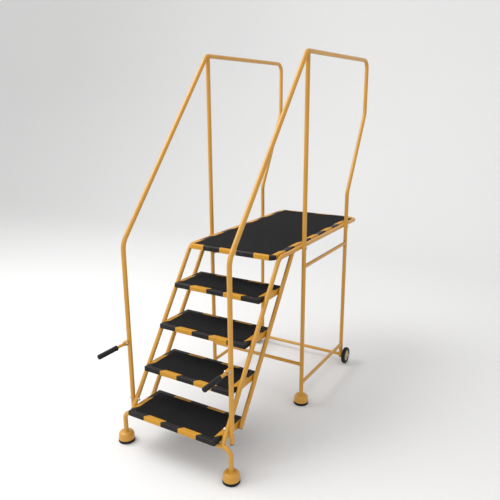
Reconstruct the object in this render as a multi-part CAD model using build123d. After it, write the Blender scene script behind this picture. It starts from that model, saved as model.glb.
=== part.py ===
from build123d import *
import math
import os

# Rolling warehouse ladder: four treads and a long deck on a bent tube frame, with guard rails,
# two tip-and-roll wheels at the back, four cup feet and two fold-down lifting handles.
# Millimetres, +Z up, +X to the right of a person who climbs, who faces +Y.
# The pieces are drawn with Y measured from the deck's front edge, and save() moves them so that
# the origin is on the floor, in the middle of the outline.

# Tubes
TUBE_OD = 25.4                          # handrails, posts, stringers and deck rails
TUBE_WALL = 2.0
BAR_OD = 22.0                           # lighter tie bars
BAR_WALL = 1.5
STRINGER_X = 300.0                      # plane of the stringers and deck side rails
FRAME_GAP = 0.6
RAIL_X = STRINGER_X + TUBE_OD + FRAME_GAP    # plane of the handrails and posts, outside them

# Steps
RISE = 200.0
GOING = 147.0
DECK_TOP = 1030.0
TREAD_LEVELS = {"tread_4": 1, "tread_3": 2, "tread_2": 3, "tread_1": 4}     # rises below the deck
SLAB_DEPTH = 27.0                       # height of each folded tray with its mat
SHEET = 2.0                             # tray sheet
NOSE_ROUND = 5.0                        # rounded top edge of the trays
MAT_THICK = 1.5
MAT_MARGIN = 28.0                       # striped border left round each mat
TREAD_DEPTH = 266.0
TREAD_HALF = 283.0
TREAD_CORNER = 7.0
DECK_LENGTH = 1223.0
DECK_HALF = 287.0
DECK_CORNER = 38.0
FIT_GAP = 0.3                           # between parts that only stand side by side
PLATE_DROP = 3.0                        # end plates start this far below a tread's top
PLATE_DEPTH = 32.0
BOTTOM_PLATE_DEPTH = 41.0
STIFFENER_PLACES = (0.15, 0.5, 0.9)     # along the deck
STIFFENER_WIDTH = 40.0
STIFFENER_DEPTH = 20.0

# Frame stations: (Y from the deck's front edge, Z)
RAIL_Z = 1012.0
STRINGER_TOP = (48.0, RAIL_Z)
FOOT_TUBE = (-542.0, 184.0)
FOOT_TUBE_BEND = 45.0
STRINGER_BEND = 60.0
REAR_STRINGER_OFFSET = 165.0
REAR_STRINGER_END_Z = 190.0
REAR_RAIL_Y = 1236.0
REAR_CORNER_R = 50.0
REAR_RAIL_HALF = 249.0                  # the bent tubes meet the rear rail just past the corners
FRONT_POST_Y = -495.0
FRONT_POST_END_Z = 181.0
MID_POST_Y = 310.0
REAR_LEG_Y = 973.0
REAR_LEG_END_Z = 42.0
HANDRAIL_TOP = 2100.0
HANDRAIL_BEND_Z = 1138.0
REAR_UPRIGHT_Y = 1248.3
KINK_HIGH_Z = 1750.0
KINK_LOW_Z = 1241.0
TOP_FRONT_Y = 298.0                     # where the sloping rail would meet the top rail
TOP_FRONT_BEND = 45.0
HANDRAIL_BENDS = [110.0, TOP_FRONT_BEND, 55.0, 90.0, 90.0]
UPPER_BAR_Z = 895.0
LOWER_BAR_Z = 138.0
MID_BAR_Z = 264.0

# Feet
FOOT_X = 349.0
CUP_R = 45.5
CUP_TOP = 60.0
CUP_ROUND = 20.0
CUP_WALL = 3.0
PAD_TOP = 17.0
PAD_PLUG = 12.0                         # rubber pushed up inside the cup
PAD_ROUND = 4.0

# Wheels
WHEEL_R = 58.0
TYRE_WIDTH = 25.0
TYRE_ROUND = 8.0
HUB_R = 36.0
HUB_BOSS_R = 16.0
HUB_LENGTH = 38.0
RIM_WIDTH = 20.0
RIM_THICK = 5.0
WEB_RECESS = 4.0
WHEEL_X = 362.5
AXLE_R = 6.0
BUSH_R = 9.0
RUNNING_GAP = 0.05
END_FLOAT = 0.1
WASHER_R = 12.0
WASHER_THICK = 2.0
CAP_R = 9.0
CAP_LENGTH = 8.0
CAP_ROUND = 3.5

# Lifting handles
HANDLE_Z = 590.0
PIVOT_Y = -526.0
PIVOT_R = 4.0
ARM_R = 8.0
EYE_R = 8.5
EYE_THICK = 9.0
EYE_REACH = 20.0
EYE_OVERLAP = 2.0                       # of the flat eye and the round arm
GRIP_R = 13.5
GRIP_COLLAR = 1.5                       # collar at the open end, outside the sleeve
GRIP_COLLAR_LENGTH = 4.0
GRIP_ROUND = 8.0
GRIP_START = -593.0
GRIP_END = -722.0
GRIP_SKIN = 6.0                         # rubber beyond the end of the arm
LUG_WIDTH = 18.0
LUG_HEIGHT = 22.0
LUG_REACH = 10.0                        # lug in front of the pivot
LUG_ROUND = 3.0
PIVOT_HEAD_R = 7.0
PIVOT_HEAD = 5.0
PIVOT_TAIL = 1.5                        # thread beyond the lock nut

# Fasteners
BOLT_R = 4.0
BOLT_GAP = 0.1
BOLT_HEAD_R = 8.0
BOLT_HEAD = 5.0
BOLT_HEAD_ROUND = 3.5
BOLT_TAIL = 2.0                         # thread beyond the nut
NUT_R = 7.2
NUT_THICK = 6.5
PLUG_LIP = 3.0
PLUG_DEPTH = 12.0
SHORT_PLUG_DEPTH = 8.0

Y_SHIFT = -(GRIP_END + REAR_UPRIGHT_Y + TUBE_OD / 2) / 2
SIDES = {"left": -1, "right": 1}
TUBE_R = TUBE_OD / 2
BORE_R = TUBE_R - TUBE_WALL
BAR_R = BAR_OD / 2
BAR_BORE_R = BAR_R - BAR_WALL
FROM_BASE = (Align.CENTER, Align.CENTER, Align.MIN)
FROM_TOP = (Align.CENTER, Align.CENTER, Align.MAX)

os.makedirs("parts", exist_ok=True)


def save(name, *shapes):
    """Write one node, moved from the working frame into the part's frame."""
    solids = [solid for shape in shapes for solid in shape.solids()]
    body = solids[0] if len(solids) == 1 else Compound(children=solids)
    export_step(Pos(0, Y_SHIFT, 0) * body, f"parts/{name}.step")


def biggest(shape):
    """The largest solid of a cut piece, without the crumbs that a coped end leaves."""
    return max(shape.solids(), key=lambda solid: solid.volume)


def bent_path(points, radii):
    """Straight runs through the points, with a tangent arc at each inner point."""
    points = [Vector(*point) for point in points]
    edges = []
    start = points[0]
    for before, corner, after, radius in zip(points, points[1:], points[2:], radii):
        back = (before - corner).normalized()
        ahead = (after - corner).normalized()
        half = math.radians(back.get_angle(ahead)) / 2
        reach = radius / math.tan(half)
        inward = (back + ahead).normalized()
        arc_in = corner + back * reach
        arc_out = corner + ahead * reach
        arc_mid = corner + inward * (radius / math.sin(half) - radius)
        edges.append(Line(start, arc_in))
        edges.append(ThreePointArc(arc_in, arc_mid, arc_out))
        start = arc_out
    edges.append(Line(start, points[-1]))
    return Wire(edges)


def bent_rod(points, radii, radius):
    """A round bar along a bent path."""
    path = bent_path(points, radii)
    section = Plane(origin=path @ 0, z_dir=path % 0) * Circle(radius)
    return sweep(section, path=path)


def rod(start, end, radius):
    """A round bar between two points."""
    axis = Vector(*end) - Vector(*start)
    return Plane(origin=start, z_dir=axis) * Cylinder(radius, axis.length, align=FROM_BASE)


def pipe(start, end, outer, inner):
    """A straight tube between two points."""
    return rod(start, end, outer) - rod(start, end, inner)


def ring(start, direction, outer, inner, length):
    """A washer or sleeve that starts at a point and runs along direction."""
    blank = Cylinder(outer, length, align=FROM_BASE) - Cylinder(inner, length, align=FROM_BASE)
    return Plane(origin=start, z_dir=direction) * blank


def stringer_y(z, offset=0.0):
    """Y of a stringer's centre line at height z; offset is 0 for the front ones."""
    slope = (STRINGER_TOP[0] - FOOT_TUBE[0]) / (STRINGER_TOP[1] - FOOT_TUBE[1])
    return STRINGER_TOP[0] + offset - (STRINGER_TOP[1] - z) * slope


def bolt_stations():
    """Where the handrail frames are bolted to the step frame: (Y, Z)."""
    slope = (STRINGER_TOP[1] - FOOT_TUBE[1]) / (STRINGER_TOP[0] - FOOT_TUBE[0])
    crossing_z = STRINGER_TOP[1] - (STRINGER_TOP[0] - FRONT_POST_Y) * slope
    return [(FRONT_POST_Y, crossing_z), (MID_POST_Y, RAIL_Z), (REAR_LEG_Y, RAIL_Z)]


def drilled(shape, side):
    """The shape with the frame bolts' clearance holes of one side."""
    for y, z in bolt_stations():
        inner = (side * (DECK_HALF - TUBE_OD), y, z)
        outer = (side * (RAIL_X + TUBE_OD), y, z)
        shape -= rod(inner, outer, BOLT_R + BOLT_GAP)
    return shape


# Front foot tube: one tube under the bottom tread, its ends bent down into the front feet
foot_y, foot_z = FOOT_TUBE
foot_path = [
    (-FOOT_X, foot_y, CUP_TOP),
    (-FOOT_X, foot_y, foot_z),
    (FOOT_X, foot_y, foot_z),
    (FOOT_X, foot_y, CUP_TOP),
]
foot_bends = [FOOT_TUBE_BEND, FOOT_TUBE_BEND]
foot_tube = bent_rod(foot_path, foot_bends, TUBE_R)
save("front_foot_tube", foot_tube - bent_rod(foot_path, foot_bends, BORE_R))

# Side tubes: front stringer, deck side rail and half of the rear corner in one bent tube
side_tubes = {}
for side_name, side in SIDES.items():
    path = [
        (side * STRINGER_X, *FOOT_TUBE),
        (side * STRINGER_X, *STRINGER_TOP),
        (side * STRINGER_X, REAR_RAIL_Y, RAIL_Z),
        (side * REAR_RAIL_HALF, REAR_RAIL_Y, RAIL_Z),
    ]
    bends = [STRINGER_BEND, REAR_CORNER_R]
    side_tubes[side_name] = bent_rod(path, bends, TUBE_R)
    tube = side_tubes[side_name] - bent_rod(path, bends, BORE_R) - foot_tube
    save(f"stringer_and_deck_rail_{side_name}", biggest(drilled(tube, side)))

# Rear deck rail: closes the frame behind the deck
rear_rail_start = (-REAR_RAIL_HALF, REAR_RAIL_Y, RAIL_Z)
save("deck_rail_rear", ring(rear_rail_start, (1, 0, 0), TUBE_R, BORE_R, 2 * REAR_RAIL_HALF))

# Rear stringers: coped under the side rails, open at the bottom
plugs = []
for side_name, side in SIDES.items():
    low_y = stringer_y(REAR_STRINGER_END_Z, REAR_STRINGER_OFFSET)
    low = Vector(side * STRINGER_X, low_y, REAR_STRINGER_END_Z)
    high = Vector(side * STRINGER_X, stringer_y(RAIL_Z, REAR_STRINGER_OFFSET), RAIL_Z)
    tube = pipe(low, high, TUBE_R, BORE_R) - side_tubes[side_name]
    save(f"rear_stringer_{side_name}", biggest(tube))
    along = (high - low).normalized()
    plugs.append(rod(low - along * PLUG_LIP, low, TUBE_R) + rod(low, low + along * PLUG_DEPTH, BORE_R))

# Handrail frames: front post, sloping rail, top rail, kinked upright and rear leg in one bent tube
handrails = {}
for side_name, side in SIDES.items():
    x = side * RAIL_X
    path = [
        (x, FRONT_POST_Y, FRONT_POST_END_Z),
        (x, FRONT_POST_Y, HANDRAIL_BEND_Z),
        (x, TOP_FRONT_Y, HANDRAIL_TOP),
        (x, REAR_UPRIGHT_Y, HANDRAIL_TOP),
        (x, REAR_UPRIGHT_Y, KINK_HIGH_Z),
        (x, REAR_LEG_Y, KINK_LOW_Z),
        (x, REAR_LEG_Y, REAR_LEG_END_Z),
    ]
    handrails[side_name] = bent_rod(path, HANDRAIL_BENDS, TUBE_R)
    tube = drilled(handrails[side_name] - bent_rod(path, HANDRAIL_BENDS, BORE_R), side)
    axle_in = (side * (RAIL_X - TUBE_OD), REAR_LEG_Y, WHEEL_R)
    axle_out = (side * (RAIL_X + TUBE_OD), REAR_LEG_Y, WHEEL_R)
    tube -= rod(axle_in, axle_out, AXLE_R)
    save(f"handrail_{side_name}", tube)
    for y, z in ((FRONT_POST_Y, FRONT_POST_END_Z), (REAR_LEG_Y, REAR_LEG_END_Z)):
        lip = rod((x, y, z - PLUG_LIP), (x, y, z), TUBE_R)
        plugs.append(lip + rod((x, y, z), (x, y, z + SHORT_PLUG_DEPTH), BORE_R))

save("tube_plugs", *plugs)

# Mid posts: from the middle feet up to the front bend of the top rail
turn = math.atan2(HANDRAIL_TOP - HANDRAIL_BEND_Z, TOP_FRONT_Y - FRONT_POST_Y)
into_bend = TOP_FRONT_Y + TOP_FRONT_BEND * math.tan(turn / 2) - MID_POST_Y
post_top = HANDRAIL_TOP - TOP_FRONT_BEND + math.sqrt(TOP_FRONT_BEND**2 - into_bend**2)
posts = {}
for side_name, side in SIDES.items():
    low = (side * RAIL_X, MID_POST_Y, CUP_TOP)
    high = (side * RAIL_X, MID_POST_Y, post_top)
    posts[side_name] = rod(low, high, TUBE_R)
    post = pipe(low, high, TUBE_R, BORE_R) - handrails[side_name]
    save(f"mid_post_{side_name}", biggest(drilled(post, side)))

# Tie bars between the posts and legs, coped onto the tubes they meet
for bar_name, z in (("upper", UPPER_BAR_Z), ("lower", LOWER_BAR_Z)):
    for side_name, side in SIDES.items():
        bar = pipe((side * RAIL_X, MID_POST_Y, z), (side * RAIL_X, REAR_LEG_Y, z), BAR_R, BAR_BORE_R)
        bar -= posts[side_name] + handrails[side_name]
        save(f"{bar_name}_side_bar_{side_name}", biggest(bar))

for bar_name, y, z in (("mid_cross_bar", MID_POST_Y, MID_BAR_Z), ("axle_cross_bar", REAR_LEG_Y, WHEEL_R)):
    bar = pipe((-RAIL_X, y, z), (RAIL_X, y, z), BAR_R, BAR_BORE_R)
    for side_name in SIDES:
        bar -= posts[side_name] + handrails[side_name]
    save(bar_name, biggest(bar))


def tray(half, length, top, corner):
    """A sheet tray with rounded corners, turned-down sides and a rounded top edge."""
    bottom = top - SLAB_DEPTH
    height = SLAB_DEPTH - MAT_THICK
    block = extrude(Pos(0, length / 2, bottom) * RectangleRounded(2 * half, length, corner), height)
    block = fillet(block.faces().sort_by(Axis.Z)[-1].edges(), NOSE_ROUND)
    inside = RectangleRounded(2 * (half - SHEET), length - 2 * SHEET, corner - SHEET)
    return block - extrude(Pos(0, length / 2, bottom) * inside, height - SHEET)


def mat(half, length, top, corner):
    """The anti-slip mat on a tray, set in from the striped border."""
    outline = RectangleRounded(2 * (half - MAT_MARGIN), length - 2 * MAT_MARGIN, corner)
    return extrude(Pos(0, length / 2, top - MAT_THICK) * outline, MAT_THICK)


# Deck: tray, mat and three channel stiffeners welded under the sheet
deck_tray = tray(DECK_HALF, DECK_LENGTH, DECK_TOP, DECK_CORNER)
for side in SIDES.values():
    deck_tray = drilled(deck_tray, side)
save("deck_tray", deck_tray)
save("deck_mat", mat(DECK_HALF, DECK_LENGTH, DECK_TOP, TREAD_CORNER))

sheet_under = DECK_TOP - MAT_THICK - SHEET
stiffener_length = 2 * (DECK_HALF - SHEET - FIT_GAP)
stiffeners = []
for place in STIFFENER_PLACES:
    y = place * DECK_LENGTH
    channel = Pos(0, y, sheet_under) * Box(stiffener_length, STIFFENER_WIDTH, STIFFENER_DEPTH, align=FROM_TOP)
    trough = Box(stiffener_length, STIFFENER_WIDTH - 2 * SHEET, STIFFENER_DEPTH, align=FROM_TOP)
    stiffeners.append(channel - Pos(0, y, sheet_under - SHEET) * trough)
save("deck_stiffeners", *stiffeners)


def end_plate(side, top, bottom):
    """A flat plate between two stringers that carries one end of a tread."""
    corners = [
        (stringer_y(bottom), bottom),
        (stringer_y(bottom, REAR_STRINGER_OFFSET), bottom),
        (stringer_y(top, REAR_STRINGER_OFFSET), top),
        (stringer_y(top), top),
    ]
    outline = Plane.YZ.offset(side * TREAD_HALF) * make_face(Polyline(*corners, close=True))
    return extrude(outline, side * (STRINGER_X - TUBE_R - TREAD_HALF - FIT_GAP)) - foot_tube


# Treads: tray, mat and a pair of end plates each
for tread, rises in TREAD_LEVELS.items():
    top = DECK_TOP - rises * RISE
    place = Pos(0, -rises * GOING, 0)
    save(f"{tread}_tray", place * tray(TREAD_HALF, TREAD_DEPTH, top, TREAD_CORNER))
    save(f"{tread}_mat", place * mat(TREAD_HALF, TREAD_DEPTH, top, TREAD_CORNER / 2))
    depth = BOTTOM_PLATE_DEPTH if tread == "tread_1" else PLATE_DEPTH
    plate_top = top - PLATE_DROP
    save(f"{tread}_end_plates", *[end_plate(side, plate_top, plate_top - depth) for side in SIDES.values()])


def foot_cup():
    """A pressed steel cup, bell shaped, open underneath."""
    shell = Pos(0, 0, PAD_TOP) * Cylinder(CUP_R, CUP_TOP - PAD_TOP, align=FROM_BASE)
    shell = fillet(shell.edges().sort_by(Axis.Z)[-1], CUP_ROUND)
    inside = Pos(0, 0, PAD_TOP) * Cylinder(CUP_R - CUP_WALL, CUP_TOP - PAD_TOP - CUP_WALL, align=FROM_BASE)
    return shell - fillet(inside.edges().sort_by(Axis.Z)[-1], CUP_ROUND - CUP_WALL)


def foot_pad():
    """The rubber pad: a tread ring under the cup and a plug pushed up inside it."""
    tread_ring = Cylinder(CUP_R, PAD_TOP, align=FROM_BASE)
    tread_ring = fillet(tread_ring.edges().sort_by(Axis.Z)[0], PAD_ROUND)
    return tread_ring + Cylinder(CUP_R - CUP_WALL, PAD_TOP + PAD_PLUG, align=FROM_BASE)


# Feet: four alike, at the front foot tube's ends and under the mid posts
for row_name, x, y in (("front", FOOT_X, foot_y), ("middle", RAIL_X, MID_POST_Y)):
    for side_name, side in SIDES.items():
        save(f"foot_cup_{row_name}_{side_name}", Pos(side * x, y, 0) * foot_cup())
        save(f"foot_pad_{row_name}_{side_name}", Pos(side * x, y, 0) * foot_pad())


def wheel_hub():
    """A moulded hub: a rim, a web that is dished on both faces, and a long boss."""
    hub = Cylinder(HUB_R, RIM_WIDTH) + Cylinder(HUB_BOSS_R, HUB_LENGTH)
    recess = Cylinder(HUB_R - RIM_THICK, WEB_RECESS) - Cylinder(HUB_BOSS_R, WEB_RECESS)
    for face in (-1, 1):
        hub -= Pos(0, 0, face * (RIM_WIDTH - WEB_RECESS) / 2) * recess
    return hub - Cylinder(BUSH_R, HUB_LENGTH)


# Wheels: hub with a moulded tyre and a plain bush, on one axle through both legs
hub_in = WHEEL_X - HUB_LENGTH / 2
hub_out = WHEEL_X + HUB_LENGTH / 2
washer_places = (hub_in - END_FLOAT - WASHER_THICK, hub_out + END_FLOAT)
cap_place = hub_out + END_FLOAT + WASHER_THICK
washers = []
caps = []
for side_name, side in SIDES.items():
    out = (side, 0, 0)
    on_axle = Plane(origin=(side * WHEEL_X, REAR_LEG_Y, WHEEL_R), z_dir=out)
    save(f"wheel_hub_{side_name}", on_axle * wheel_hub())
    tyre = fillet(Cylinder(WHEEL_R, TYRE_WIDTH).edges(), TYRE_ROUND) - Cylinder(HUB_R, TYRE_WIDTH)
    save(f"wheel_tyre_{side_name}", on_axle * tyre)
    bush_start = (side * hub_in, REAR_LEG_Y, WHEEL_R)
    save(f"wheel_bush_{side_name}", ring(bush_start, out, BUSH_R, AXLE_R + RUNNING_GAP, HUB_LENGTH))
    for start in washer_places:
        washers.append(ring((side * start, REAR_LEG_Y, WHEEL_R), out, WASHER_R, AXLE_R, WASHER_THICK))
    cap = Cylinder(CAP_R, CAP_LENGTH, align=FROM_BASE)
    cap = fillet(cap.edges().sort_by(Axis.Z)[-1], CAP_ROUND) - Cylinder(AXLE_R, CAP_LENGTH)
    caps.append(Plane(origin=(side * cap_place, REAR_LEG_Y, WHEEL_R), z_dir=out) * cap)
axle_half = cap_place + CAP_LENGTH / 2
save("axle", rod((-axle_half, REAR_LEG_Y, WHEEL_R), (axle_half, REAR_LEG_Y, WHEEL_R), AXLE_R))
save("axle_washers", *washers)
save("axle_caps", *caps)

ACROSS = Rot(0, 90, 0)


def handle_lug(pivot):
    """A block with a slot for the eye, open in front and below, with a stop web on top."""
    back = FRONT_POST_Y - PIVOT_Y
    lug = Pos(0, (back - LUG_REACH) / 2, 0) * Box(LUG_WIDTH, back + LUG_REACH, LUG_HEIGHT)
    lug = fillet(lug.edges().filter_by(Axis.X).group_by(Axis.Y)[0], LUG_ROUND)
    slot_size = 2 * LUG_HEIGHT
    slot = Box(EYE_THICK + 2 * FIT_GAP, slot_size, slot_size, align=(Align.CENTER, Align.MAX, Align.MAX))
    lug -= Pos(0, LUG_REACH, EYE_R + FIT_GAP) * slot
    return pivot * (lug - ACROSS * Cylinder(PIVOT_R + RUNNING_GAP, 2 * LUG_WIDTH))


def handle_arm():
    """A round arm with a flat eye at its root; it points along -Y from its pivot."""
    eye = ACROSS * Cylinder(EYE_R, EYE_THICK)
    eye += Box(EYE_THICK, EYE_REACH, 2 * EYE_R, align=(Align.CENTER, Align.MAX, Align.CENTER))
    eye -= ACROSS * Cylinder(PIVOT_R + RUNNING_GAP, 2 * EYE_THICK)
    return eye + rod((0, EYE_OVERLAP - EYE_REACH, 0), (0, GRIP_END + GRIP_SKIN - PIVOT_Y, 0), ARM_R)


def handle_grip():
    """A rubber sleeve with a collar at its open end and a rounded closed end."""
    length = GRIP_START - GRIP_END
    sleeve = Cylinder(GRIP_R, length, align=FROM_BASE)
    sleeve = fillet(sleeve.edges().sort_by(Axis.Z)[-1], GRIP_ROUND)
    sleeve += Cylinder(GRIP_R + GRIP_COLLAR, GRIP_COLLAR_LENGTH, align=FROM_BASE)
    return sleeve - Cylinder(ARM_R, length - GRIP_SKIN, align=FROM_BASE)


def handle_pivot(side):
    """A bolt with its head on the outside of the lug and a lock nut on the inside."""
    half = LUG_WIDTH / 2
    shank = rod((-side * (half + NUT_THICK + PIVOT_TAIL), 0, 0), (side * half, 0, 0), PIVOT_R)
    head = rod((side * half, 0, 0), (side * (half + PIVOT_HEAD), 0, 0), PIVOT_HEAD_R)
    nut = Pos(-side * half, 0, 0) * ACROSS * extrude(RegularPolygon(NUT_R, 6), -side * NUT_THICK)
    return shank + head + nut


# Lifting handles: the arm stands out forward under the lug's stop web and folds down by the post
for side_name, side in SIDES.items():
    pivot = Pos(side * RAIL_X, PIVOT_Y, HANDLE_Z)
    save(f"handle_lug_{side_name}", biggest(handle_lug(pivot) - handrails[side_name]))
    save(f"handle_arm_{side_name}", pivot * handle_arm())
    grip_end = Plane(origin=(side * RAIL_X, GRIP_START, HANDLE_Z), z_dir=(0, -1, 0))
    save(f"handle_grip_{side_name}", grip_end * handle_grip())
    save(f"handle_pivot_{side_name}", pivot * handle_pivot(side))

# Frame bolts: dome heads outside the posts, nuts inside the stringers and the deck tray
bolts = []
nuts = []
for side in SIDES.values():
    out = (side, 0, 0)
    head_x = RAIL_X + TUBE_R
    for y, z in bolt_stations():
        seat_x = DECK_HALF - SHEET if z == RAIL_Z else STRINGER_X - TUBE_R
        shank = rod((side * (seat_x - NUT_THICK - BOLT_TAIL), y, z), (side * head_x, y, z), BOLT_R)
        head = Cylinder(BOLT_HEAD_R, BOLT_HEAD, align=FROM_BASE)
        head = fillet(head.edges().sort_by(Axis.Z)[-1], BOLT_HEAD_ROUND)
        bolts.append(shank + Plane(origin=(side * head_x, y, z), z_dir=out) * head)
        nut = extrude(RegularPolygon(NUT_R, 6), -NUT_THICK) - Cylinder(BOLT_R, 3 * NUT_THICK)
        nuts.append(Plane(origin=(side * seat_x, y, z), z_dir=out) * nut)
save("frame_bolts", *bolts)
save("frame_nuts", *nuts)
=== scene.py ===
import math
import bpy
import numpy as np
from mathutils import Matrix, Vector


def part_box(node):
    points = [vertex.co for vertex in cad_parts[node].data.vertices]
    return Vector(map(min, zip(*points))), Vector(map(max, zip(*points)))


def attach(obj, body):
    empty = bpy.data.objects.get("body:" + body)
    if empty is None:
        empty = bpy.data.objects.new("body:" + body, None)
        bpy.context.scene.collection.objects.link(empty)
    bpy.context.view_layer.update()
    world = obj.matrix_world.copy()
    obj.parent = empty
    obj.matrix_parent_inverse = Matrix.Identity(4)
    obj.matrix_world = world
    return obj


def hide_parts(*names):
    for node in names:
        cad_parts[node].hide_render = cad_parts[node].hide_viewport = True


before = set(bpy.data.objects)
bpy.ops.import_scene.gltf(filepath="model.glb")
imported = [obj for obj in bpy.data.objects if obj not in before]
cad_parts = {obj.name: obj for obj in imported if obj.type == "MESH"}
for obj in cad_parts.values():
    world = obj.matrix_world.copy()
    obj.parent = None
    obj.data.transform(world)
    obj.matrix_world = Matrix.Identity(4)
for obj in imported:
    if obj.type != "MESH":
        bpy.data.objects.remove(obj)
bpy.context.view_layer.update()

# ---------------------------------------------------------------------------------------------
# Powder coat of the tube frame: amber gloss powder baked onto steel. It has a fine orange peel,
# a slight drift of tone from tube to tube, and dull scuffs where people and pallets rub it.

PEEL_SCALE = 650.0
PEEL_HEIGHT = 0.00012
AMBER_LIGHT = (0.64, 0.320, 0.030, 1)
AMBER_DEEP = (0.54, 0.250, 0.018, 1)
AMBER_SCUFF = (0.50, 0.33, 0.13, 1)
BLACK_LIGHT = (0.017, 0.016, 0.017, 1)
BLACK_DEEP = (0.010, 0.009, 0.010, 1)
BLACK_SCUFF = (0.075, 0.072, 0.070, 1)
DUST_TONE = (0.42, 0.39, 0.34, 1)


def add(tree, kind, inputs=None, **settings):
    """Adds a node. Settings are its properties; inputs pairs a socket with a value or an output."""
    node = tree.nodes.new(kind)
    for key, value in settings.items():
        setattr(node, key, value)
    for socket, value in (inputs or {}).items():
        if isinstance(value, bpy.types.NodeSocket):
            tree.links.new(value, node.inputs[socket])
        else:
            node.inputs[socket].default_value = value
    return node


def maths(tree, operation, *values):
    """The output of a Math node."""
    return add(tree, "ShaderNodeMath", dict(enumerate(values)), operation=operation).outputs[0]


def mixed(tree, share, first, second):
    """The colour that goes from first to second as share goes from 0 to 1."""
    return add(tree, "ShaderNodeMix", {0: share, 6: first, 7: second}, data_type="RGBA").outputs[2]


def noise(tree, scale, detail=2.0, roughness=0.5):
    """Noise over Object coordinates, so that it stays on the piece."""
    place = add(tree, "ShaderNodeTexCoord").outputs["Object"]
    sockets = {"Vector": place, "Scale": scale, "Detail": detail, "Roughness": roughness}
    return add(tree, "ShaderNodeTexNoise", sockets).outputs["Fac"]


def effect(name, inputs, outputs):
    """A shader node group with number sockets: its tree, and the outputs of its input node."""
    tree = bpy.data.node_groups.new(name, "ShaderNodeTree")
    for label, value in inputs.items():
        socket = tree.interface.new_socket(label, in_out="INPUT", socket_type="NodeSocketFloat")
        socket.default_value = value
    for label in outputs:
        tree.interface.new_socket(label, in_out="OUTPUT", socket_type="NodeSocketFloat")
    return tree, add(tree, "NodeGroupInput").outputs


# Paint surface: a slow drift of tone, orange peel as a height, and patchy scuffs.
paint_inputs = {"Peel Scale": 700.0, "Scuffs": 0.3}
paint_surface, given = effect("paint_surface", paint_inputs, ["Drift", "Peel", "Scuff"])
drift = noise(paint_surface, 5.0, 3.0)
peel = noise(paint_surface, given["Peel Scale"], 1.0)
patches = noise(paint_surface, 26.0, 8.0, 0.7)
threshold = maths(paint_surface, "SUBTRACT", 0.80, maths(paint_surface, "MULTIPLY", given["Scuffs"], 0.3))
scuff = maths(paint_surface, "MULTIPLY", maths(paint_surface, "SUBTRACT", patches, threshold), 9.0)
scuff = add(paint_surface, "ShaderNodeClamp", {"Value": scuff}).outputs[0]
add(paint_surface, "NodeGroupOutput", {"Drift": drift, "Peel": peel, "Scuff": scuff})

# Settled dust: faces that look up hold more of it, in soft patches.
settled_dust, given = effect("settled_dust", {"Amount": 0.2}, ["Dust"])
normal = add(settled_dust, "ShaderNodeNewGeometry").outputs["Normal"]
upward = add(settled_dust, "ShaderNodeSeparateXYZ", {0: normal}).outputs["Z"]
upward = maths(settled_dust, "POWER", maths(settled_dust, "MAXIMUM", upward, 0.0), 2.0)
patches = maths(settled_dust, "POWER", noise(settled_dust, 14.0, 6.0, 0.65), 2.0)
dust = maths(settled_dust, "MULTIPLY", maths(settled_dust, "MULTIPLY", upward, patches), given["Amount"])
add(settled_dust, "NodeGroupOutput", {"Dust": dust})


def material(name):
    """A new material: itself, its node tree and its Principled shader."""
    new = bpy.data.materials.new(name)
    new.use_nodes = True
    return new, new.node_tree, new.node_tree.nodes["Principled BSDF"]


def use(tree, group, **inputs):
    """The outputs of a node group placed in a material."""
    node = add(tree, "ShaderNodeGroup", node_tree=group)
    for socket, value in inputs.items():
        node.inputs[socket.replace("_", " ")].default_value = value
    return node.outputs


def bumped(tree, shader, height, distance):
    """Bends the shader's normal by a height from 0 to 1, which stands for a distance in metres."""
    sockets = {"Height": height, "Distance": distance, "Strength": 1.0}
    tree.links.new(add(tree, "ShaderNodeBump", sockets).outputs[0], shader.inputs["Normal"])


def powder_coat(name, light, deep, scuffed, roughness):
    """Baked powder: tone drifts between light and deep, scuffs are duller, dust lies on top."""
    coat, tree, shader = material(name)
    paint = use(tree, paint_surface, Peel_Scale=PEEL_SCALE, Scuffs=0.45)
    tone = mixed(tree, paint["Drift"], deep, light)
    tone = mixed(tree, maths(tree, "MULTIPLY", paint["Scuff"], 0.5), tone, scuffed)
    tone = mixed(tree, use(tree, settled_dust, Amount=0.12)["Dust"], tone, DUST_TONE)
    tree.links.new(tone, shader.inputs["Base Color"])
    dull = maths(tree, "MULTIPLY_ADD", paint["Scuff"], 0.25, roughness)
    tree.links.new(maths(tree, "MULTIPLY_ADD", paint["Drift"], 0.08, dull), shader.inputs["Roughness"])
    bumped(tree, shader, paint["Peel"], PEEL_HEIGHT)
    shader.inputs["Coat Weight"].default_value = 0.25
    shader.inputs["Coat Roughness"].default_value = 0.12
    return coat


amber_coat = powder_coat("amber_coat", AMBER_LIGHT, AMBER_DEEP, AMBER_SCUFF, 0.30)
black_coat = powder_coat("black_coat", BLACK_LIGHT, BLACK_DEEP, BLACK_SCUFF, 0.38)

# ---------------------------------------------------------------------------------------------
# Bent tubes: one inch steel tube with 2 mm walls, drawn round formers. The two handrail frames
# carry the guard rails and the rear legs; the two side tubes are stringer and deck rail in one.

TUBE_R = 0.0127
TOP_FRONT_BEND = 0.045
HANDRAIL_BENDS = (0.110, TOP_FRONT_BEND, 0.055, 0.090, 0.090)
HANDRAIL_BEND_Z = 1.138
TOP_FRONT = 0.298                       # top rail's front corner, behind the deck's front edge
KINK_HIGH_Z = 1.750
KINK_LOW_Z = 1.241
FRONT_POST_END_Z = 0.181
SIDE_TUBE_BENDS = (0.060, 0.050)
STRINGER_TOP = 0.048                    # behind the deck's front edge
FOOT_TUBE_BENDS = (0.045, 0.045)
REAR_STRINGER_OFFSET = 0.165
REAR_STRINGER_END_Z = 0.190
SIDES = {"left": -1, "right": 1}
X, Y, Z = np.eye(3)


def unit(vectors):
    """The same directions with length one."""
    return vectors / np.linalg.norm(vectors, axis=-1, keepdims=True)


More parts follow.
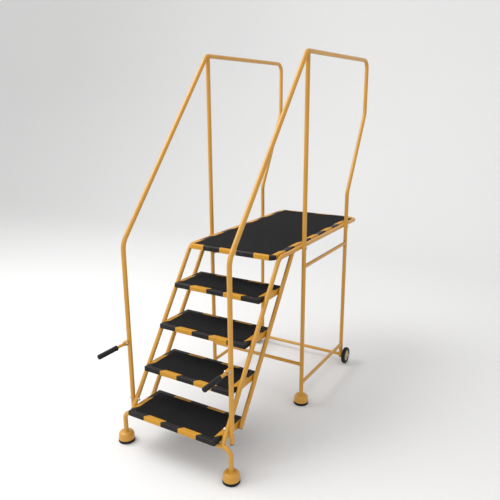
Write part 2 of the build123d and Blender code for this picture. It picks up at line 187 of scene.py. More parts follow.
def middle(node):
    """The middle of a CAD node's box."""
    low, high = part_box(node)
    return np.array((low + high) / 2)


def route(corners, bends, steps=14):
    """Centre line of a bent tube, as points and unit headings. Each inner corner gives way to an
    arc tangent to both runs. With h half the angle between the runs, the arc starts r / tan h
    before the corner, and its centre lies r / sin h from the corner along the bisector."""
    corners = np.array(corners, float)
    points = [corners[:1]]
    headings = [unit(corners[1:2] - corners[:1])]
    for before, corner, after, bend in zip(corners, corners[1:], corners[2:], bends):
        back = unit(before - corner)
        ahead = unit(after - corner)
        half = math.acos(back @ ahead) / 2
        centre = corner + unit(back + ahead) * bend / math.sin(half)
        spoke = corner + back * bend / math.tan(half) - centre
        turn = np.linspace(0, math.pi - 2 * half, steps)[:, None]
        points.append(centre + spoke * np.cos(turn) - back * bend * np.sin(turn))
        headings.append(-back * np.cos(turn) - spoke / bend * np.sin(turn))
    points.append(corners[-1:])
    headings.append(unit(corners[-1:] - corners[-2:-1]))
    return np.vstack(points), np.vstack(headings)


def lattice(rows, columns, ring=False):
    """Quads of a grid that closes on itself across its columns, and along its rows for a ring."""
    row = np.arange(rows if ring else rows - 1)[:, None]
    above = (row + 1) % rows
    here = np.arange(columns)
    right = (here + 1) % columns
    quads = [row * columns + here, row * columns + right, above * columns + right, above * columns + here]
    return np.stack(quads, -1).reshape(-1, 4).tolist()


def capped(grid):
    """Skin of a grid of rings, closed by a flat face at each end."""
    rows, columns = grid.shape[:2]
    faces = lattice(rows, columns)
    faces.append(list(range(columns))[::-1])
    faces.append(list(range((rows - 1) * columns, rows * columns)))
    return grid.reshape(-1, 3), faces


def tube_skin(line, headings, radius, across, around=32):
    """Round skin along a line: each ring is centre + radius (cos a across + sin a up), where up is
    heading x across, so that the ring stands square to the line."""
    across = np.broadcast_to(across, line.shape)[:, None]
    angle = np.linspace(0, 2 * math.pi, around, endpoint=False)[:, None]
    up = np.cross(headings[:, None], across)
    return capped(line[:, None] + radius * (np.cos(angle) * across + np.sin(angle) * up))


def joined(skins):
    """Several skins as one: each one's vertex numbers move up by the vertices before it."""
    starts = np.cumsum([0] + [len(vertices) for vertices, faces in skins])
    faces = [[start + i for i in face] for start, (_, part) in zip(starts, skins) for face in part]
    return np.vstack([vertices for vertices, _ in skins]), faces


def build(name, skin, finish, body, slot, *replaced, crease=40):
    """Makes the mesh and its object, and says what it rides on and what it replaces. The slot argument is not
    used.
    """
    vertices, faces = skin
    mesh = bpy.data.meshes.new(name)
    mesh.from_pydata(vertices.tolist(), [], faces)
    mesh.materials.append(finish)
    mesh.shade_smooth()
    mesh.set_sharp_from_angle(angle=math.radians(crease))
    piece = bpy.data.objects.new(name, mesh)
    bpy.context.scene.collection.objects.link(piece)
    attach(piece, body)
    if replaced:
        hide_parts(*replaced)
    return piece


deck_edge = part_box("deck_tray")[0].y
foot_low, foot_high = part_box("front_foot_tube")
foot_x = foot_high.x - TUBE_R
foot_y = middle("front_foot_tube")[1]
foot_z = foot_high.z - TUBE_R
rail_low, rail_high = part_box("handrail_right")
rail_x = middle("handrail_right")[0]
front_post_y = rail_low.y + TUBE_R
rear_upright_y = rail_high.y - TUBE_R
top_z = rail_high.z - TUBE_R
leg_end_z = rail_low.z
stringer_x = middle("rear_stringer_right")[0]
_, rear_rail_y, deck_rail_z = middle("deck_rail_rear")
rear_rail_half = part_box("deck_rail_rear")[1].x
leg_y = middle("axle")[1]
post_y = middle("mid_post_right")[1]
stringer_top_y = deck_edge + STRINGER_TOP
stringer_slope = (stringer_top_y - foot_y) / (deck_rail_z - foot_z)
for side, sign in SIDES.items():
    x = sign * rail_x
    corners = [
        (x, front_post_y, FRONT_POST_END_Z),
        (x, front_post_y, HANDRAIL_BEND_Z),
        (x, deck_edge + TOP_FRONT, top_z),
        (x, rear_upright_y, top_z),
        (x, rear_upright_y, KINK_HIGH_Z),
        (x, leg_y, KINK_LOW_Z),
        (x, leg_y, leg_end_z),
    ]
    line, headings = route(corners, HANDRAIL_BENDS)
    skin = tube_skin(line, headings, TUBE_R, X)
    build(f"handrail_tube_{side}", skin, amber_coat, "frame", "frame_paint", f"handrail_{side}")
    x = sign * stringer_x
    corners = [
        (x, foot_y, foot_z),
        (x, stringer_top_y, deck_rail_z),
        (x, rear_rail_y, deck_rail_z),
        (sign * rear_rail_half, rear_rail_y, deck_rail_z),
    ]
    line, headings = route(corners, SIDE_TUBE_BENDS)
    skin = tube_skin(line, headings, TUBE_R, unit(np.cross(Z, headings)))
    build(f"side_tube_{side}", skin, amber_coat, "frame", "frame_paint", f"stringer_and_deck_rail_{side}")

corners = [
    (-foot_x, foot_y, foot_low.z),
    (-foot_x, foot_y, foot_z),
    (foot_x, foot_y, foot_z),
    (foot_x, foot_y, foot_low.z),
]
line, headings = route(corners, FOOT_TUBE_BENDS)
skin = tube_skin(line, headings, TUBE_R, Y)
build("foot_tube", skin, amber_coat, "frame", "frame_paint", "front_foot_tube")

# ---------------------------------------------------------------------------------------------
# Straight tubes and tie bars: cut from the same tube, or from 22 mm tube for the lighter ties.
# Their ends run into the tubes they meet, under the weld beads.

BAR_R = 0.011


def straight(start, end, radius, across):
    """Round skin of a straight tube."""
    line = np.array([start, end], float)
    headings = np.repeat(unit(line[1:] - line[:1]), 2, 0)
    return tube_skin(line, headings, radius, across)


top_front_y = deck_edge + TOP_FRONT
slope_turn = math.atan2(top_z - HANDRAIL_BEND_Z, top_front_y - front_post_y)
into_bend = top_front_y + TOP_FRONT_BEND * math.tan(slope_turn / 2) - post_y
bend_drop = math.sqrt(TOP_FRONT_BEND**2 - into_bend**2)
post_top_z = top_z - TOP_FRONT_BEND + bend_drop
rear_top_y = stringer_top_y + REAR_STRINGER_OFFSET
rear_foot_y = rear_top_y - (deck_rail_z - REAR_STRINGER_END_Z) * stringer_slope
start = (-rear_rail_half, rear_rail_y, deck_rail_z)
end = (rear_rail_half, rear_rail_y, deck_rail_z)
build("rear_rail", straight(start, end, TUBE_R, Y), amber_coat, "frame", "frame_paint", "deck_rail_rear")
for side, sign in SIDES.items():
    x = sign * stringer_x
    skin = straight((x, rear_foot_y, REAR_STRINGER_END_Z), (x, rear_top_y, deck_rail_z), TUBE_R, X)
    build(f"rear_stringer_tube_{side}", skin, amber_coat, "frame", "frame_paint", f"rear_stringer_{side}")
    x = sign * rail_x
    start = (x, post_y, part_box("mid_post_right")[0].z)
    skin = straight(start, (x, post_y, post_top_z), TUBE_R, X)
    build(f"mid_post_tube_{side}", skin, amber_coat, "frame", "frame_paint", f"mid_post_{side}")
    for bar in ("upper", "lower"):
        bar_z = middle(f"{bar}_side_bar_{side}")[2]
        skin = straight((x, post_y, bar_z), (x, leg_y, bar_z), BAR_R, X)
        build(f"{bar}_tie_{side}", skin, amber_coat, "frame", "frame_paint", f"{bar}_side_bar_{side}")
for bar in ("mid_cross_bar", "axle_cross_bar"):
    _, bar_y, bar_z = middle(bar)
    skin = straight((-rail_x, bar_y, bar_z), (rail_x, bar_y, bar_z), BAR_R, Y)
    build(bar.replace("bar", "tie"), skin, amber_coat, "frame", "frame_paint", bar)

# ---------------------------------------------------------------------------------------------
# Weld beads: each joint of the frame is MIG welded all round and coated over. The ripples are
# the steps of the torch, about 2 mm apart.

BEAD_R = 0.0024
RIPPLE = 0.14                           # share of the bead's radius
RIPPLES = 34
BEAD_SIDES = 8
START_BACK = 0.1                        # a stringer's ring starts this far along it from the joint


def bead(centre, along, radius, axis_point, axis, axis_radius):
    """Bead where a bar meets a tube. The bar's ring slides along the bar until each point lies on
    the tube: with w the point's offset from the tube's axis and d the bar's direction, both
    square to the axis, w + t d has the tube's radius at the first root t. The bead is a rippled
    round skin along that closed line."""
    along = unit(np.array(along, float))
    axis = unit(np.array(axis, float))
    side = unit(np.cross(along, axis))
    angle = np.linspace(0, 2 * math.pi, 4 * RIPPLES, endpoint=False)[:, None]
    outward = np.cos(angle) * side + np.sin(angle) * np.cross(along, side)
    ring = centre + radius * outward
    offset = ring - axis_point
    offset = offset - (offset @ axis)[:, None] * axis
    across = along - (along @ axis) * axis
    a = across @ across
    b = offset @ across
    c = (offset**2).sum(1) - axis_radius**2
    slide = (-b - np.sqrt(np.maximum(b * b - a * c, 0))) / a
    line = ring + slide[:, None] * along
    heading = unit(np.roll(line, -1, 0) - np.roll(line, 1, 0))
    from_axis = unit(offset + slide[:, None] * across)
    crown = unit(outward + from_axis)
    crown = unit(crown - (crown * heading).sum(1)[:, None] * heading)
    size = BEAD_R * (1 + RIPPLE * np.sin(RIPPLES * angle))[:, None]
    section = np.linspace(0, 2 * math.pi, BEAD_SIDES, endpoint=False)[:, None]
    wall = np.cos(section) * crown[:, None] + np.sin(section) * np.cross(heading, crown)[:, None]
    return (line[:, None] + size * wall).reshape(-1, 3), lattice(len(line), BEAD_SIDES, ring=True)


beads = []
for sign in SIDES.values():
    x = sign * rail_x
    for bar in ("upper_side_bar_right", "lower_side_bar_right"):
        bar_z = middle(bar)[2]
        centre = (x, (post_y + leg_y) / 2, bar_z)
        beads.append(bead(centre, -Y, BAR_R, (x, post_y, bar_z), Z, TUBE_R))
        beads.append(bead(centre, Y, BAR_R, (x, leg_y, bar_z), Z, TUBE_R))
    for bar in ("mid_cross_bar", "axle_cross_bar"):
        bar_y, bar_z = middle(bar)[1:]
        beads.append(bead((0, bar_y, bar_z), sign * X, BAR_R, (x, bar_y, bar_z), Z, TUBE_R))
    tangent = (0, bend_drop, into_bend)
    beads.append(bead((x, post_y, deck_rail_z), Z, TUBE_R, (x, post_y, post_top_z), tangent, TUBE_R))
    x = sign * stringer_x
    downward = np.array([0, -stringer_slope, -1])
    foot = np.array([x, foot_y, foot_z])
    beads.append(bead(foot - START_BACK * downward, downward, TUBE_R, foot, X, TUBE_R))
    head = np.array([x, rear_top_y, deck_rail_z])
    beads.append(bead(head + START_BACK * downward, -downward, TUBE_R, head, Y, TUBE_R))
build("weld_beads", joined(beads), amber_coat, "frame", "frame_paint", crease=80)

# ---------------------------------------------------------------------------------------------
# Treads and deck: sheet steel trays, folded down on all four sides with a rounded nose. They are
# sprayed black, and a border 28 mm wide carries amber warning bands that wrap over the edge.

SHEET = 0.002
MAT_THICK = 0.0015
NOSE_ROUND = 0.005
LIP_ROUND = 0.0006
TOP_ROW = 0.009                         # first row in from the edge past the rounded nose
UNDER_MAT = 0.06                        # the swept sheet runs in this far before its flat caps
LEAST_CORNER = 0.0003
CORNER_STEPS = 8
BAND = 0.1132                           # length of one band along an edge
PAIR = 2 * BAND
TREADS = ("tread_1", "tread_2", "tread_3", "tread_4")


def tray_profile(top, bottom):
    """Section of the folded edge as (inset, height, run) rows, from under the sheet, down the
    inside, round the lip, up the face, round the nose and in along the top. Run is the way in from
    the nose in pairs of bands: 0 on the face, and -1 on the faces that are never banded."""
    turn = np.linspace(0, math.pi / 2, 7)
    sheet_top = top - MAT_THICK
    inner = [(inset, sheet_top - SHEET, -1) for inset in (UNDER_MAT, SHEET)]
    inner.append((SHEET, bottom + LIP_ROUND, -1))
    lip = [(SHEET - LIP_ROUND, bottom, -1), (LIP_ROUND, bottom, -1), (0, bottom + LIP_ROUND, 0)]
    face = [(0, sheet_top - 2.4 * NOSE_ROUND, 0)]
    nose_inset = NOSE_ROUND * (1 - np.cos(turn))
    nose_height = sheet_top - NOSE_ROUND * (1 - np.sin(turn))
    nose = np.stack([nose_inset, nose_height, 0 * turn], 1)
    tail = [(inset, sheet_top, (inset - NOSE_ROUND) / PAIR) for inset in (TOP_ROW, UNDER_MAT)]
    return np.vstack([inner, lip, face, nose, tail])


def tray_skin(half, front, length, corner, profile):
    """Tray surface over (profile row, place round the outline). At inset d the outline's corner
    radius is what is left of the corner, r = corner - d, at least 0.3 mm, about a centre that
    lies d + r inside both edges."""
    inset = profile[:, :1]
    left = np.maximum(corner - inset, LEAST_CORNER)
    arc = np.linspace(0, math.pi / 2, CORNER_STEPS)
    angle = (np.array([math.pi, 1.5 * math.pi, 0, 0.5 * math.pi])[:, None] + arc).ravel()
    sign_x = np.repeat([-1, 1, 1, -1], len(arc))
    sign_y = np.repeat([-1, -1, 1, 1], len(arc))
    x = sign_x * (half - inset - left) + left * np.cos(angle)
    y = front + length / 2 + sign_y * (length / 2 - inset - left) + left * np.sin(angle)
    z = profile[:, 1:2] + 0 * x
    return capped(np.stack([x, y, z], -1))


def band_map(piece, profile, half, length, corner, starts, slants):
    """UV map of a tray. U counts pairs of bands: along a straight side it is that side's start plus
    the distance from the corner of the outline's box, and round a corner it is interpolated. V is
    how far a band's end slides along the edge: run times that side's slant, or -1."""
    inset = profile[:, :1]
    near = inset + np.maximum(corner - inset, LEAST_CORNER)
    sides = np.array([2 * half, length, 2 * half, length])
    begins = [start + near / PAIR for start in starts]
    ends = [start + (side - near) / PAIR for start, side in zip(starts, sides)]
    turns = round(starts[3] + length / PAIR - starts[0])
    before = [ends[3] - turns] + ends[:3]
    share = np.linspace(0, 1, CORNER_STEPS)
    count = np.hstack([old + (new - old) * share for old, new in zip(before, begins)])
    after = np.hstack([count[:, 1:], ends[3]])
    u = np.stack([count[:-1], after[:-1], after[1:], count[1:]], -1).ravel()
    leans = [slants[3] + (slants[0] - slants[3]) * share]
    leans += [old + (new - old) * share for old, new in zip(slants[:3], slants[1:])]
    run = profile[:, 2:]
    lean = np.where(run < 0, run, run * np.concatenate(leans))
    v = np.stack([lean[:-1], lean[:-1], lean[1:], lean[1:]], -1).ravel()
    under = np.stack([count[0, ::-1], lean[0]], 1)
    over = np.stack([count[-1], lean[-1]], 1)
    layer = piece.data.uv_layers.new(name="bands")
    coordinates = np.concatenate([np.stack([u, v], 1), under, over])
    layer.data.foreach_set("uv", coordinates.astype(np.float32).ravel())


band_paint, tree, shader = material("band_paint")
bands = add(tree, "ShaderNodeUVMap", uv_map="bands").outputs[0]
bands = add(tree, "ShaderNodeSeparateXYZ", {0: bands}).outputs
paint = use(tree, paint_surface, Peel_Scale=PEEL_SCALE, Scuffs=0.75)
leaning = maths(tree, "SUBTRACT", bands["X"], bands["Y"])
ragged = maths(tree, "MULTIPLY_ADD", noise(tree, 300.0, 2.0), 0.006, leaning)
amber_band = maths(tree, "GREATER_THAN", maths(tree, "FRACT", ragged), 0.5)
outside = maths(tree, "GREATER_THAN", bands["Y"], -0.5)
amber_band = maths(tree, "MULTIPLY", amber_band, outside)
amber_tone = mixed(tree, paint["Drift"], AMBER_DEEP, AMBER_LIGHT)
black_tone = mixed(tree, paint["Drift"], BLACK_DEEP, BLACK_LIGHT)
tone = mixed(tree, amber_band, black_tone, amber_tone)
tone = mixed(tree, maths(tree, "MULTIPLY", paint["Scuff"], 0.35), tone, (0.12, 0.115, 0.105, 1))
tone = mixed(tree, use(tree, settled_dust, Amount=0.07)["Dust"], tone, DUST_TONE)
tree.links.new(tone, shader.inputs["Base Color"])
tree.links.new(maths(tree, "MULTIPLY_ADD", paint["Scuff"], 0.2, 0.46), shader.inputs["Roughness"])
bumped(tree, shader, paint["Peel"], PEEL_HEIGHT)
shader.inputs["Specular IOR Level"].default_value = 0.18

# Corner radius, then starts and slants of the bands for the front, right, rear and left sides
TREAD_EDGE = (0.007, (0.0, 2.195, 3.06, 5.0), (0.9, -1.4, 0.2, -1.4))
DECK_EDGE = (0.038, (0.51, 3.33, 8.74, 11.589), (-0.5, -1.4, 1.0, -1.4))
trays = [(f"{tread}_tray", f"{tread}_step", *TREAD_EDGE) for tread in TREADS]
trays.append(("deck_tray", "deck_plate", *DECK_EDGE))
for node, name, corner, starts, slants in trays:
    low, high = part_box(node)
    profile = tray_profile(high.z + MAT_THICK, low.z)
    skin = tray_skin(high.x, low.y, high.y - low.y, corner, profile)
    piece = build(name, skin, band_paint, "frame", "edge_stripe", node)
    band_map(piece, profile, high.x, high.y - low.y, corner, starts, slants)

# ---------------------------------------------------------------------------------------------
# Anti-slip mats: black ribbed rubber sheet, cut square and bonded to each tray inside the bands.
# The ribs run across the ladder, 5 mm apart, and hold a little dust in their valleys.

RIB_PITCH = 0.005
RIB_DEPTH = 0.0006


def mat_skin(low, high):
    """Mat surface: a four-cornered section carried along the ladder. Its top is at the mat's full
    height on the first half of each pitch and a rib's depth lower on the second half."""
    pitches = round((high.y - low.y) / RIB_PITCH)
    place = np.array([0, 0.40, 0.55, 0.90])
    y = low.y + (np.arange(pitches)[:, None] + place).ravel() * (high.y - low.y) / pitches
    y = np.append(y, high.y)
    z = high.z - np.append(np.tile([0, 0, RIB_DEPTH, RIB_DEPTH], pitches), 0)
    x = 0 * y + high.x
    floor = 0 * y + low.z
    section = [np.stack(corner, 1) for corner in ((-x, y, floor), (-x, y, z), (x, y, z), (x, y, floor))]
    return capped(np.stack(section, 1))


mat_rubber, tree, shader = material("mat_rubber")
grit = noise(tree, 1600.0, 2.0)
tone = mixed(tree, noise(tree, 6.0, 4.0), (0.0045, 0.0042, 0.0046, 1), (0.0085, 0.008, 0.0085, 1))
specks = maths(tree, "MULTIPLY", maths(tree, "GREATER_THAN", grit, 0.66), 0.3)
tone = mixed(tree, specks, tone, (0.025, 0.025, 0.025, 1))
tone = mixed(tree, use(tree, settled_dust, Amount=0.02)["Dust"], tone, DUST_TONE)
tree.links.new(tone, shader.inputs["Base Color"])
tree.links.new(maths(tree, "MULTIPLY_ADD", grit, 0.15, 0.72), shader.inputs["Roughness"])
bumped(tree, shader, grit, 0.0003)
shader.inputs["Specular IOR Level"].default_value = 0.2
for tread in TREADS + ("deck",):
    skin = mat_skin(*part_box(f"{tread}_mat"))
    build(f"{tread}_ribbed_mat", skin, mat_rubber, "frame", "anti_slip_mat", f"{tread}_mat", crease=25)

# ---------------------------------------------------------------------------------------------
# Feet: a pressed steel bell welded to the end of each front tube and mid post, with a rolled lip,
# over a moulded rubber pad whose rim shows below it as a black ring.

CUP_R = 0.0455
CUP_TOP = 0.060
CUP_LIP = 0.0018                        # radius of the rolled lip
CUP_DOME = 0.020                        # radius of the bell's shoulder
CUP_COLLAR = 0.0028                     # radius of the weld round the tube
PAD_TOP = 0.017
PAD_SEAT_R = 0.030                      # hidden top of the pad, inside the bell
PAD_FOOT = 0.004                        # radius of the pad's bottom edge
PAD_ROUND = 0.0015


def turned(profile, origin, axis, across, around=64, ring=False):
    """A profile of (radius, height) rows turned about an axis: origin + height axis + radius
    (cos a across + sin a (axis x across)). A ring's last row joins its first; any other profile
    is closed by flat faces."""
    profile = np.array(profile, float)
    angle = np.linspace(0, 2 * math.pi, around, endpoint=False)[:, None]
    spoke = np.cos(angle) * across + np.sin(angle) * np.cross(axis, across)
    grid = origin + profile[:, None, 1:] * axis + profile[:, None, :1] * spoke
    if ring:
        return grid.reshape(-1, 3), lattice(len(profile), around, ring=True)
    return capped(grid)


def arc_rows(radius, height, bend, start, end, steps=8):
    """Rows of a profile round an arc, from one angle to another, in degrees."""
    turn = np.radians(np.linspace(start, end, steps))
    return np.stack([radius + bend * np.cos(turn), height + bend * np.sin(turn)], 1)


def rubber(name, dark, light, roughness, dusty):
    """Moulded rubber or plastic: fine mould grain, tone that drifts in patches, dust on top."""
    skin_material, tree, shader = material(name)
    tone = mixed(tree, noise(tree, 30.0, 5.0, 0.6), dark, light)
    tone = mixed(tree, use(tree, settled_dust, Amount=dusty)["Dust"], tone, DUST_TONE)
    tree.links.new(tone, shader.inputs["Base Color"])
    grain = noise(tree, 1100.0, 2.0)
    tree.links.new(maths(tree, "MULTIPLY_ADD", grain, 0.2, roughness), shader.inputs["Roughness"])
    bumped(tree, shader, grain, 0.00015)
    shader.inputs["Specular IOR Level"].default_value = 0.3
    return skin_material


foot_rubber = rubber("foot_rubber", (0.006, 0.006, 0.006, 1), (0.012, 0.0115, 0.0115, 1), 0.55, 0.06)
cup_profile = np.vstack([
    [(PAD_SEAT_R, PAD_TOP), (CUP_R - 0.003, PAD_TOP)],
    arc_rows(CUP_R - CUP_LIP, PAD_TOP + CUP_LIP, CUP_LIP, -80, 60, 6),
    [(CUP_R - CUP_LIP, PAD_TOP + 0.005), (CUP_R - 0.0022, 0.030)],
    arc_rows(CUP_R - 0.0225, CUP_TOP - CUP_DOME, CUP_DOME, 0, 78, 10),
    [(0.0200, CUP_TOP - 0.0003), (0.0150, CUP_TOP), (0.0110, CUP_TOP)],
])
collar_profile = arc_rows(TUBE_R, CUP_TOP, CUP_COLLAR, 0, 315, 8)
pad_profile = np.vstack([
    [(0.014, 0.002), (0.034, 0.002), (0.035, 0)],
    arc_rows(CUP_R - PAD_FOOT, PAD_FOOT, PAD_FOOT, -90, 0, 6),
    [(CUP_R, 0.0075), (CUP_R - 0.0008, 0.0082), (CUP_R - 0.0008, 0.0092), (CUP_R, 0.0100)],
    arc_rows(CUP_R - PAD_ROUND, PAD_TOP - PAD_ROUND, PAD_ROUND, 0, 90, 4),
    [(PAD_SEAT_R, PAD_TOP)],
])
for row in ("front", "middle"):
    for side in SIDES:
        cup = f"foot_cup_{row}_{side}"
        pad = f"foot_pad_{row}_{side}"
        place = middle(cup) * (1, 1, 0)
        bell = [turned(cup_profile, place, Z, X), turned(collar_profile, place, Z, X, 48, ring=True)]
        build(f"bell_{row}_{side}", joined(bell), amber_coat, "frame", "frame_paint", cup)
        build(f"pad_{row}_{side}", turned(pad_profile, place, Z, X), foot_rubber, "frame", "foot_rubber", pad)

# ---------------------------------------------------------------------------------------------
# Wheels: a cream moulded nylon hub with eight ribs on each face, and a black rubber tyre moulded
# round it. They turn on a plain bush on the axle, just outside the rear legs.

RIBS = 8
RIB_HEIGHT = 0.0032
RIB_HALF = 0.0013
RIB_INNER_R = 0.0160
RIB_OUTER_R = 0.0310
HUB_COLUMNS = 128
SHOULDER = 0.008
GROOVE = 0.0010
GROOVE_HALF = 0.0018
GROOVE_FLOOR_HALF = 0.0012


def hub_half(origin, axis, across):
    """Half a hub, from the mid plane to the boss face. Between boss and rim the web is raised by
    the rib height where the arc length to the nearest rib is under the rib's half width."""
    rows = [(0.0370, 0), (0.0370, 0.0090), (0.0360, 0.0100), (0.0322, 0.0100), (0.0312, 0.0062)]
    rows += [(r, 0.0060) for r in (0.0305, 0.0270, 0.0235, 0.0200, 0.0175)]
    rows += [(0.0162, 0.0066), (0.0156, 0.0180), (0.0146, 0.0190), (0.0090, 0.0190), (0.0090, 0)]
    skin, faces = turned(rows, origin, axis, across, HUB_COLUMNS)
    faces = faces[:-2]
    angle = np.arange(HUB_COLUMNS) * 2 * math.pi / HUB_COLUMNS
    pitch = 2 * math.pi / RIBS
    off = np.abs((angle + pitch / 2) % pitch - pitch / 2)
    radius = np.array([row[0] for row in rows])[:, None]
    height = np.clip(1.5 - (radius * off) / RIB_HALF, 0, 1) * RIB_HEIGHT
    web = np.array([RIB_INNER_R < row[0] < RIB_OUTER_R for row in rows])[:, None]
    return skin + (height * web).reshape(-1, 1) * axis, faces


hub_plastic, tree, shader = material("hub_plastic")
cloud = noise(tree, 40.0, 4.0, 0.6)
tone = mixed(tree, cloud, (0.50, 0.43, 0.25, 1), (0.62, 0.55, 0.35, 1))
tone = mixed(tree, use(tree, settled_dust, Amount=0.3)["Dust"], tone, DUST_TONE)
tree.links.new(tone, shader.inputs["Base Color"])
tree.links.new(maths(tree, "MULTIPLY_ADD", cloud, 0.15, 0.38), shader.inputs["Roughness"])
bumped(tree, shader, noise(tree, 500.0), 0.0001)
shader.inputs["Subsurface Weight"].default_value = 0.08
shader.inputs["Subsurface Scale"].default_value = 0.002

tyre_rubber = rubber("tyre_rubber", (0.005, 0.005, 0.005, 1), (0.010, 0.0095, 0.0095, 1), 0.50, 0.05)
tyre_low, tyre_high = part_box("wheel_tyre_right")
tyre_r = (tyre_high.z - tyre_low.z) / 2
tyre_w = (tyre_high.x - tyre_low.x) / 2
shoulder_r = tyre_r - SHOULDER
tyre_profile = np.vstack([
    [(0.0365, -tyre_w + 0.0015), (0.0400, -tyre_w + 0.0012), (0.0412, -tyre_w)],
    arc_rows(shoulder_r, -tyre_w + SHOULDER, SHOULDER, -90, 0, 9),
    [(tyre_r, -GROOVE_HALF), (tyre_r - GROOVE, -GROOVE_FLOOR_HALF)],
    [(tyre_r - GROOVE, GROOVE_FLOOR_HALF), (tyre_r, GROOVE_HALF)],
    arc_rows(shoulder_r, tyre_w - SHOULDER, SHOULDER, 0, 90, 9),
    [(0.0412, tyre_w), (0.0400, tyre_w - 0.0012), (0.0365, tyre_w - 0.0015)],
])
for side, sign in SIDES.items():
    centre = middle(f"wheel_tyre_{side}")
    axis = sign * X
    halves = [hub_half(centre, axis, Z), hub_half(centre, -axis, Z)]
    wheel = f"wheel_{side}"
    build(f"hub_{side}", joined(halves), hub_plastic, wheel, "hub_plastic", f"wheel_hub_{side}", crease=30)
    skin = turned(tyre_profile, centre, axis, Z, 96, ring=True)
    build(f"tyre_{side}", skin, tyre_rubber, wheel, "tyre", f"wheel_tyre_{side}")

# ---------------------------------------------------------------------------------------------
# Lifting handle grips: black rubber sleeves pushed over the arms, ringed for the hand, with a
# collar at the open end and a rounded closed end.

GRIP_R = 0.0135
GRIP_RINGS = 17
RING_DEPTH = 0.0009
GRIP_END = 0.008                        # radius of the closed end's edge
grip_rubber = rubber("grip_rubber", (0.004, 0.004, 0.004, 1), (0.008, 0.0078, 0.0078, 1), 0.45, 0.03)
for side in SIDES:
    low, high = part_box(f"handle_grip_{side}")
    length = high.y - low.y
    origin = np.array([(low.x + high.x) / 2, high.y, (low.z + high.z) / 2])
    run = np.linspace(0.010, length - 0.016, 6 * GRIP_RINGS + 1)
    phase = 2 * math.pi * GRIP_RINGS * (run - run[0]) / (run[-1] - run[0])
    swell = GRIP_R - RING_DEPTH * (0.5 - 0.5 * np.cos(phase))
    profile = np.vstack([
        [(0.0080, 0.0002), (0.0132, 0)],
        arc_rows(0.0132, 0.0018, 0.0018, -90, 0, 5),
        arc_rows(0.0132, 0.0028, 0.0018, 0, 70, 4),
        [(GRIP_R - 0.0006, 0.0062)],
        np.stack([swell, run], 1),
        arc_rows(GRIP_R - GRIP_END, length - GRIP_END, GRIP_END, 0, 86, 9),
    ])
    skin = turned(profile, origin, -Y, X, 48)
    build(f"grip_{side}", skin, grip_rubber, f"handle_{side}", "grip_rubber", f"handle_grip_{side}")

# ---------------------------------------------------------------------------------------------
# Steel parts that keep their machined shape: lugs, arms, end plates and deck channels are coated
# like the frame; bolts, nuts, washers, axle and its push-on caps are bright zinc plate.


def dress(finish, *nodes):
    """Gives CAD nodes a material."""
    for node in nodes:
        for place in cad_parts[node].material_slots:
            place.material = finish


zinc_plate, tree, shader = material("zinc_plate")
spangle = noise(tree, 220.0, 3.0, 0.6)
tone = mixed(tree, spangle, (0.42, 0.43, 0.45, 1), (0.62, 0.63, 0.64, 1))
tone = mixed(tree, use(tree, settled_dust, Amount=0.3)["Dust"], tone, DUST_TONE)
tree.links.new(tone, shader.inputs["Base Color"])
tree.links.new(maths(tree, "MULTIPLY_ADD", spangle, 0.3, 0.18), shader.inputs["Roughness"])
bumped(tree, shader, noise(tree, 900.0), 0.00008)
shader.inputs["Metallic"].default_value = 1.0

nylon = rubber("bush_nylon", (0.55, 0.53, 0.48, 1), (0.66, 0.64, 0.58, 1), 0.30, 0.1)
plug_plastic = rubber("plug_plastic", (0.012, 0.012, 0.012, 1), (0.020, 0.020, 0.020, 1), 0.35, 0.2)
dress(amber_coat, *[f"{tread}_end_plates" for tread in TREADS])
dress(amber_coat, *[f"handle_{part}_{side}" for part in ("lug", "arm") for side in SIDES])
dress(black_coat, "deck_stiffeners")
dress(zinc_plate, "axle", "axle_caps", "axle_washers", "frame_bolts", "frame_nuts")
dress(zinc_plate, *[f"handle_pivot_{side}" for side in SIDES])
dress(nylon, *[f"wheel_bush_{side}" for side in SIDES])
dress(plug_plastic, "tube_plugs")

# ---------------------------------------------------------------------------------------------
# Studio: a pale floor that curves up into the wall behind, a large soft light high on the left,
# a weaker one high in front and an even white sky.

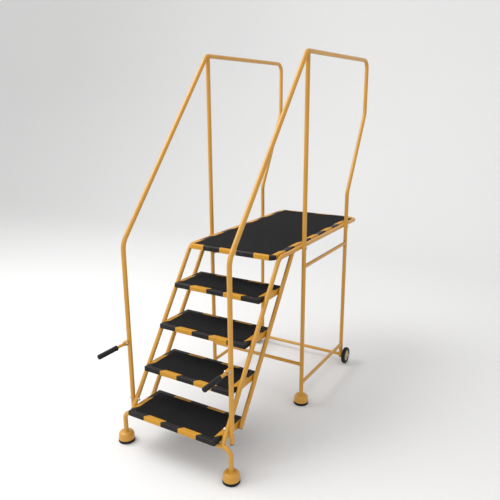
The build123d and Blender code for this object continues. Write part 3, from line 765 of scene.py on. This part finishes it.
FLOOR_HALF = 20.0
WALL_Y = 6.0
WALL_TOP = 8.0
COVE = 2.5
floor_paper, tree, shader = material("floor_paper")
tone = mixed(tree, noise(tree, 0.6, 2.0), (0.80, 0.80, 0.80, 1), (0.83, 0.825, 0.82, 1))
tree.links.new(tone, shader.inputs["Base Color"])
shader.inputs["Roughness"].default_value = 0.75
turn = np.linspace(0, math.pi / 2, 17)
across_y = np.concatenate([[-FLOOR_HALF], WALL_Y - COVE + COVE * np.sin(turn), [WALL_Y]])
up_z = np.concatenate([[0.0], COVE * (1 - np.cos(turn)), [WALL_TOP]])
edges = [np.stack([0 * up_z + edge, across_y, up_z], 1) for edge in (-FLOOR_HALF, FLOOR_HALF)]
sweep = np.stack(edges, 1)
mesh = bpy.data.meshes.new("studio_floor")
row = 2 * np.arange(len(up_z) - 1)[:, None]
mesh.from_pydata(sweep.reshape(-1, 3).tolist(), [], (row + np.array([0, 1, 3, 2])).tolist())
mesh.materials.append(floor_paper)
mesh.shade_smooth()
floor = bpy.data.objects.new("studio_floor", mesh)
bpy.context.scene.collection.objects.link(floor)

sky = bpy.data.worlds.new("sky")
bpy.context.scene.world = sky
sky.use_nodes = True
sky.node_tree.nodes["Background"].inputs["Color"].default_value = (1.0, 1.0, 1.0, 1)
sky.node_tree.nodes["Background"].inputs["Strength"].default_value = 0.81


def soft_light(name, place, aim, width, power):
    """A square area light that looks at a point."""
    lamp = bpy.data.lights.new(name, "AREA")
    lamp.size = width
    lamp.energy = power
    holder = bpy.data.objects.new(name, lamp)
    bpy.context.scene.collection.objects.link(holder)
    toward = Vector(aim) - Vector(place)
    holder.matrix_world = Matrix.Translation(place) @ toward.to_track_quat("-Z", "Y").to_matrix().to_4x4()


soft_light("key", (-2.8, -1.2, 4.6), (0, 0, 0.6), 3.2, 165)
soft_light("front_fill", (0.6, -4.8, 3.4), (0, 0, 1.0), 2.8, 35)

# ---------------------------------------------------------------------------------------------
# Camera: a little right of the front, above head height, looking down on the steps.

LENS = 39.66
CAMERA_PLACE = (1.6457, -2.7920, 1.8440)
YAW = 30.795
PITCH = -15.165
ROLL = -0.322
lens = bpy.data.cameras.new("camera")
lens.lens = LENS
lens.sensor_width = 36.0
camera = bpy.data.objects.new("camera", lens)
bpy.context.scene.collection.objects.link(camera)
turned_to = Matrix.Rotation(math.radians(YAW), 4, "Z") @ Matrix.Rotation(math.radians(90 + PITCH), 4, "X")
turned_to = turned_to @ Matrix.Rotation(math.radians(ROLL), 4, "Z")
camera.matrix_world = Matrix.Translation(CAMERA_PLACE) @ turned_to
bpy.context.scene.camera = camera
bpy.context.scene.view_settings.view_transform = "Standard"
